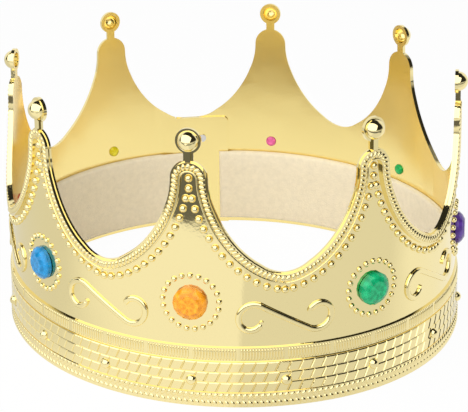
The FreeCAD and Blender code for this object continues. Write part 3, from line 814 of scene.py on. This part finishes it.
class CROWN_OT_gems(bpy.types.Operator):
    """Eight faceted gems with their pegs"""
    bl_idname = "crown.gems"
    bl_label = "Gems"

    def execute(self, context):
        for index, name in enumerate(GEMS):
            self.make(index, name, getattr(context.scene.crown_gems, name))
        return {"FINISHED"}

    def make(self, index, name, value):
        sizes = bpy.context.scene.crown_gems
        place = on_point(index, 0.0, relief().gem_height, sizes.seat)
        made = bmesh.new()
        middle_radius = (sizes.radius + sizes.table_radius) / 2 + sizes.bulge
        levels = [
            (sizes.radius, 0.0, 0.0), (sizes.radius, sizes.girdle, 0.0),
            (middle_radius, sizes.girdle + sizes.crown * 0.58, 0.5),
            (sizes.table_radius, sizes.girdle + sizes.crown, 0.0),
        ]
        rings = []
        for radius, height, shift in levels:
            ring = []
            for step in range(sizes.sides):
                turn = 2 * math.pi * (step + shift) / sizes.sides
                ring.append(made.verts.new((radius * math.cos(turn), radius * math.sin(turn), height)))
            rings.append(ring)
        for step in range(sizes.sides):
            after = (step + 1) % sizes.sides
            made.faces.new((rings[0][step], rings[0][after], rings[1][after], rings[1][step]))
            made.faces.new((rings[1][step], rings[1][after], rings[2][step]))
            made.faces.new((rings[1][after], rings[2][after], rings[2][step]))
            made.faces.new((rings[2][step], rings[3][after], rings[3][step]))
            made.faces.new((rings[2][step], rings[2][after], rings[3][after]))
        made.faces.new(rings[3])
        made.faces.new(reversed(rings[0]))
        peg_low = -strip().wall - sizes.peg_proud
        peg = bmesh.ops.create_uvsphere(made, u_segments=20, v_segments=10, radius=sizes.peg_radius)
        for vertex in peg["verts"]:
            if vertex.co.z > 0:
                vertex.co.z = sizes.girdle / 2
            else:
                vertex.co.z = peg_low + sizes.peg_radius * 0.35 + vertex.co.z * 0.35
        for face in {face for vertex in peg["verts"] for face in vertex.link_faces}:
            face.smooth = True
        layer = made.loops.layers.uv.new("gem_face")
        for face in made.faces:
            for loop in face.loops:
                loop[layer].uv = (loop.vert.co.x / sizes.radius, loop.vert.co.y / sizes.radius)
        bmesh.ops.recalc_face_normals(made, faces=made.faces)
        made.transform(place)
        piece = mesh_object("faceted_gem_" + name, made)
        finish_piece(piece, gem_material(name, value))
        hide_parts("gem_" + name)


class CROWN_OT_foam(bpy.types.Operator):
    """Foam liner with soft edges"""
    bl_idname = "crown.foam"
    bl_label = "Foam liner"

    def execute(self, context):
        sizes = context.scene.crown_foam
        around = 2 * math.pi * strip().rim_radius
        back = -strip().wall - sizes.glue
        start = sizes.far_end
        end = around - sizes.near_end
        pocket = strip().wall + strip().lap_gap
        pocket_start = strip().lap_inner_start + sizes.glue
        pocket_end = around - strip().lap_inner_end - sizes.tab_room
        round_off = sizes.thickness / 3
        steps = 420
        made = bmesh.new()
        sections = []
        for step in range(steps + 1):
            arc = start + (end - start) * step / steps
            near_end = min(arc - start, end - arc)
            ease = min(1.0, 0.55 + near_end / (3 * MM))
            clear = min(arc - pocket_start, pocket_end - arc) / sizes.ramp
            over_tab = back - pocket * (1.0 - min(1.0, max(0.0, clear)))
            front = back - sizes.thickness * (0.6 + 0.4 * ease)
            ring = []
            low, high = sizes.low, sizes.high
            tall = high - low
            wave = 0.12 * MM * math.sin(arc / (9 * MM)) + 0.08 * MM * math.sin(arc / (3.7 * MM))
            profile = [
                (over_tab, low + round_off * 0.1),
                (over_tab, low + tall * 0.33),
                (over_tab, low + tall * 0.66),
                (over_tab, high - round_off * 0.1),
                (over_tab - round_off * 0.5, high),
                (front + round_off, high - round_off * 0.15),
                (front + round_off * 0.3, high - round_off * 0.45),
                (front, high - round_off * 1.5),
                (front, low + tall * 0.75),
                (front, low + tall * 0.5),
                (front, low + tall * 0.25),
                (front, low + round_off * 1.5),
                (front + round_off * 0.3, low + round_off * 0.45),
                (front + round_off, low + round_off * 0.15),
                (over_tab - round_off * 0.5, low),
            ]
            for proud, height in profile:
                if proud < back - 0.6 * sizes.thickness:
                    proud += wave * 0.6
                ring.append(made.verts.new(on_arc(arc, height, proud).translation))
            sections.append(ring)
        for first, second in zip(sections, sections[1:]):
            for part in range(len(first)):
                after = (part + 1) % len(first)
                made.faces.new((first[part], second[part], second[after], first[after]))
        made.faces.new(sections[0])
        made.faces.new(reversed(sections[-1]))
        bmesh.ops.recalc_face_normals(made, faces=made.faces)
        piece = mesh_object("soft_foam_liner", made, True)
        finish_piece(piece, foam_material())
        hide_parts("foam_liner")
        return {"FINISHED"}


class CROWN_OT_rivets(bpy.types.Operator):
    """Steel finish of the two rivets"""
    bl_idname = "crown.rivets"
    bl_label = "Rivets"

    def execute(self, context):
        for name in ("closure_rivet_upper", "closure_rivet_lower"):
            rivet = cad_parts[name]
            rivet.data.materials.clear()
            rivet.data.materials.append(steel())
        return {"FINISHED"}


class CROWN_OT_stage(bpy.types.Operator):
    """Floor, backdrop, lights and camera"""
    bl_idname = "crown.stage"
    bl_label = "Stage"

    def execute(self, context):
        sizes = context.scene.crown_stage
        self.floor(sizes)
        self.world(context, sizes)
        self.lights(context, sizes)
        self.camera(context, sizes)
        return {"FINISHED"}

    def floor(self, sizes):
        made, tree, shader = new_material("stage_white")
        place = node(tree, "ShaderNodeTexCoord").outputs["Object"]
        grain = node(tree, "ShaderNodeBump", {"Strength": 0.02, "Height": noise(tree, place, 3.0, 2.0)})
        white = (0.9, 0.9, 0.9, 1.0)
        fill(tree, shader, {"Base Color": white, "Roughness": 0.9, "Normal": grain.outputs["Normal"]})
        # For glossy rays the floor glows in a painted pattern: white up to the sheet edge, a painted dark
        # strip beyond it, then white again.
        ahead = dot(tree, place, (math.cos(sizes.azimuth), math.sin(sizes.azimuth), 0.0))
        near = fade(tree, ahead, sizes.painted_dark_strip_edge - 0.012, sizes.painted_dark_strip_edge + 0.012, 1.0, 0.04)
        far_edge = sizes.painted_dark_strip_edge + sizes.painted_dark_strip_width
        far = fade(tree, ahead, far_edge - 0.05, far_edge + 0.05, 0.04, 0.9)
        # Painted shade: patches to the right and to the left of the crown, darker only in the floor's glossy
        # glow, darken the panels that reflect them.
        across = dot(tree, place, (-math.sin(sizes.azimuth), math.cos(sizes.azimuth), 0.0))
        right = maths(tree, "MULTIPLY", fade(tree, across, -0.004, 0.004, 0.0, 0.2),
                      fade(tree, ahead, 0.05, 0.11, 0.0, 1.0))
        left = maths(tree, "MULTIPLY", fade(tree, across, -0.12, -0.06, 0.26, 0.0),
                     fade(tree, ahead, 0.04, 0.13, 1.0, 0.0))
        shade = maths(tree, "SUBTRACT", 1.0, maths(tree, "ADD", right, left))
        painted_floor_reflection = maths(tree, "MULTIPLY", maths(tree, "MAXIMUM", near, far), shade)
        # The camera sees plain white; glossy rays see the painted reflection glow, mostly in place of the lit
        # floor.
        path = node(tree, "ShaderNodeLightPath")
        camera, glossy = path.outputs["Is Camera Ray"], path.outputs["Is Glossy Ray"]
        strength = maths(tree, "ADD", camera, maths(tree, "MULTIPLY", glossy, painted_floor_reflection))
        glow = node(tree, "ShaderNodeEmission", {"Color": (1, 1, 1, 1), "Strength": strength})
        seen_share = maths(tree, "MULTIPLY", camera, 0.96)
        share = maths(tree, "ADD", seen_share, maths(tree, "MULTIPLY", glossy, 0.9))
        seen = node(
            tree, "ShaderNodeMixShader", {0: share, 1: shader.outputs["BSDF"], 2: glow.outputs["Emission"]},
        )
        output = [item for item in tree.nodes if item.bl_idname == "ShaderNodeOutputMaterial"][0]
        tree.links.new(seen.outputs["Shader"], output.inputs["Surface"])
        mesh = bpy.data.meshes.new("stage_floor")
        reach = 3.0
        mesh.from_pydata([(-reach, -reach, 0), (reach, -reach, 0), (reach, reach, 0), (-reach, reach, 0)], [],
                         [(0, 1, 2, 3)])
        mesh.materials.append(made)
        new_object("stage_floor", mesh)

    def world(self, context, sizes):
        """White to the camera; in the metal a white backdrop behind, a dark room overhead and in front."""
        world = bpy.data.worlds.new("studio")
        context.scene.world = world
        world.use_nodes = True
        tree = world.node_tree
        tree.nodes.clear()
        ray = node(tree, "ShaderNodeTexCoord").outputs["Generated"]
        rise = node(tree, "ShaderNodeSeparateXYZ", {0: ray}).outputs["Z"]
        back = dot(tree, ray, (-math.cos(sizes.azimuth), -math.sin(sizes.azimuth), 0.0))
        backdrop = maths(
            tree, "MULTIPLY", fade(tree, back, 0.10, 0.35, 0.0, 0.95), fade(tree, rise, 0.70, 0.80, 1.0, 0.0),
        )
        horizon = fade(tree, rise, 0.0, 0.10, 0.45, 0.025)
        room = maths(tree, "MAXIMUM", backdrop, horizon)
        path = node(tree, "ShaderNodeLightPath")
        glossy = path.outputs["Is Glossy Ray"]
        camera = path.outputs["Is Camera Ray"]
        mixed = node(tree, "ShaderNodeMix", {0: glossy, 2: sizes.fill, 3: room}).outputs[0]
        strength = node(tree, "ShaderNodeMix", {0: camera, 2: mixed, 3: 1.0}).outputs[0]
        studio = node(tree, "ShaderNodeBackground", {"Color": (1, 1, 1, 1), "Strength": strength})
        node(tree, "ShaderNodeOutputWorld", {"Surface": studio.outputs["Background"]})

    def lights(self, context, sizes):
        away = Vector((
            math.cos(sizes.softbox_azimuth) * math.cos(sizes.softbox_elevation),
            math.sin(sizes.softbox_azimuth) * math.cos(sizes.softbox_elevation),
            math.sin(sizes.softbox_elevation),
        ))
        lamp = bpy.data.lights.new("softbox", "AREA")
        lamp.shape = "RECTANGLE"
        lamp.size, lamp.size_y = sizes.softbox_width, sizes.softbox_height
        lamp.energy = sizes.softbox_watts
        made = bpy.data.objects.new("softbox", lamp)
        context.scene.collection.objects.link(made)
        middle = Vector((0, 0, sizes.target_height))
        turned = (-away).to_track_quat("-Z", "Y").to_matrix().to_4x4()
        made.matrix_world = Matrix.Translation(middle + away * sizes.softbox_distance) @ turned

    def camera(self, context, sizes):
        back = Vector((math.cos(sizes.azimuth), math.sin(sizes.azimuth), 0.0))
        right = Vector((-back.y, back.x, 0.0))
        away = back * math.cos(sizes.elevation) + Vector((0, 0, math.sin(sizes.elevation)))
        target = right * sizes.target_right + Vector((0, 0, sizes.target_height))
        view = bpy.data.cameras.new("photo_camera")
        view.sensor_width = 36.0
        view.sensor_fit = "HORIZONTAL"
        view.lens = 36.0 * sizes.focal_pixels / PHOTO_WIDTH
        made = bpy.data.objects.new("photo_camera", view)
        context.scene.collection.objects.link(made)
        up = away.cross(right)
        cosine, sine = math.cos(sizes.roll), math.sin(sizes.roll)
        right, up = right * cosine + up * sine, up * cosine - right * sine
        matrix = Matrix((right, up, away)).transposed().to_4x4()
        matrix.translation = target + away * sizes.distance
        made.matrix_world = matrix
        context.scene.camera = made
        context.scene.view_settings.view_transform = "Standard"


STEPS = [
    CROWN_OT_shell, CROWN_OT_bead_rows, CROWN_OT_border_rope, CROWN_OT_scrolls, CROWN_OT_base_rows,
    CROWN_OT_gems, CROWN_OT_foam, CROWN_OT_rivets, CROWN_OT_stage,
]
SETTINGS = [
    ("crown_strip", CrownStripSettings), ("crown_relief", CrownReliefSettings),
    ("crown_gems", CrownGemSettings), ("crown_foam", CrownFoamSettings), ("crown_stage", CrownStageSettings),
]


class CROWN_PT_panel(bpy.types.Panel):
    """Buttons and sizes of the crown's finish"""
    bl_label = "Party crown"
    bl_idname = "CROWN_PT_panel"
    bl_space_type = "VIEW_3D"
    bl_region_type = "UI"
    bl_category = "Crown"

    def draw(self, context):
        for step in STEPS:
            self.layout.operator(step.bl_idname)
        for name, group in SETTINGS:
            box = self.layout.box()
            box.label(text=group.__doc__)
            for key in group.__annotations__:
                box.prop(getattr(context.scene, name), key)


def register():
    for name, group in SETTINGS:
        bpy.utils.register_class(group)
        setattr(bpy.types.Scene, name, bpy.props.PointerProperty(type=group))
    for step in STEPS:
        bpy.utils.register_class(step)
    bpy.utils.register_class(CROWN_PT_panel)


def unregister():
    bpy.utils.unregister_class(CROWN_PT_panel)
    for step in reversed(STEPS):
        bpy.utils.unregister_class(step)
    for name, group in reversed(SETTINGS):
        delattr(bpy.types.Scene, name)
        bpy.utils.unregister_class(group)


def main():
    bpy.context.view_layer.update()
    register()
    for step in STEPS:
        family, name = step.bl_idname.split(".")
        getattr(getattr(bpy.ops, family), name)()


if __name__ == "__main__":
    main()
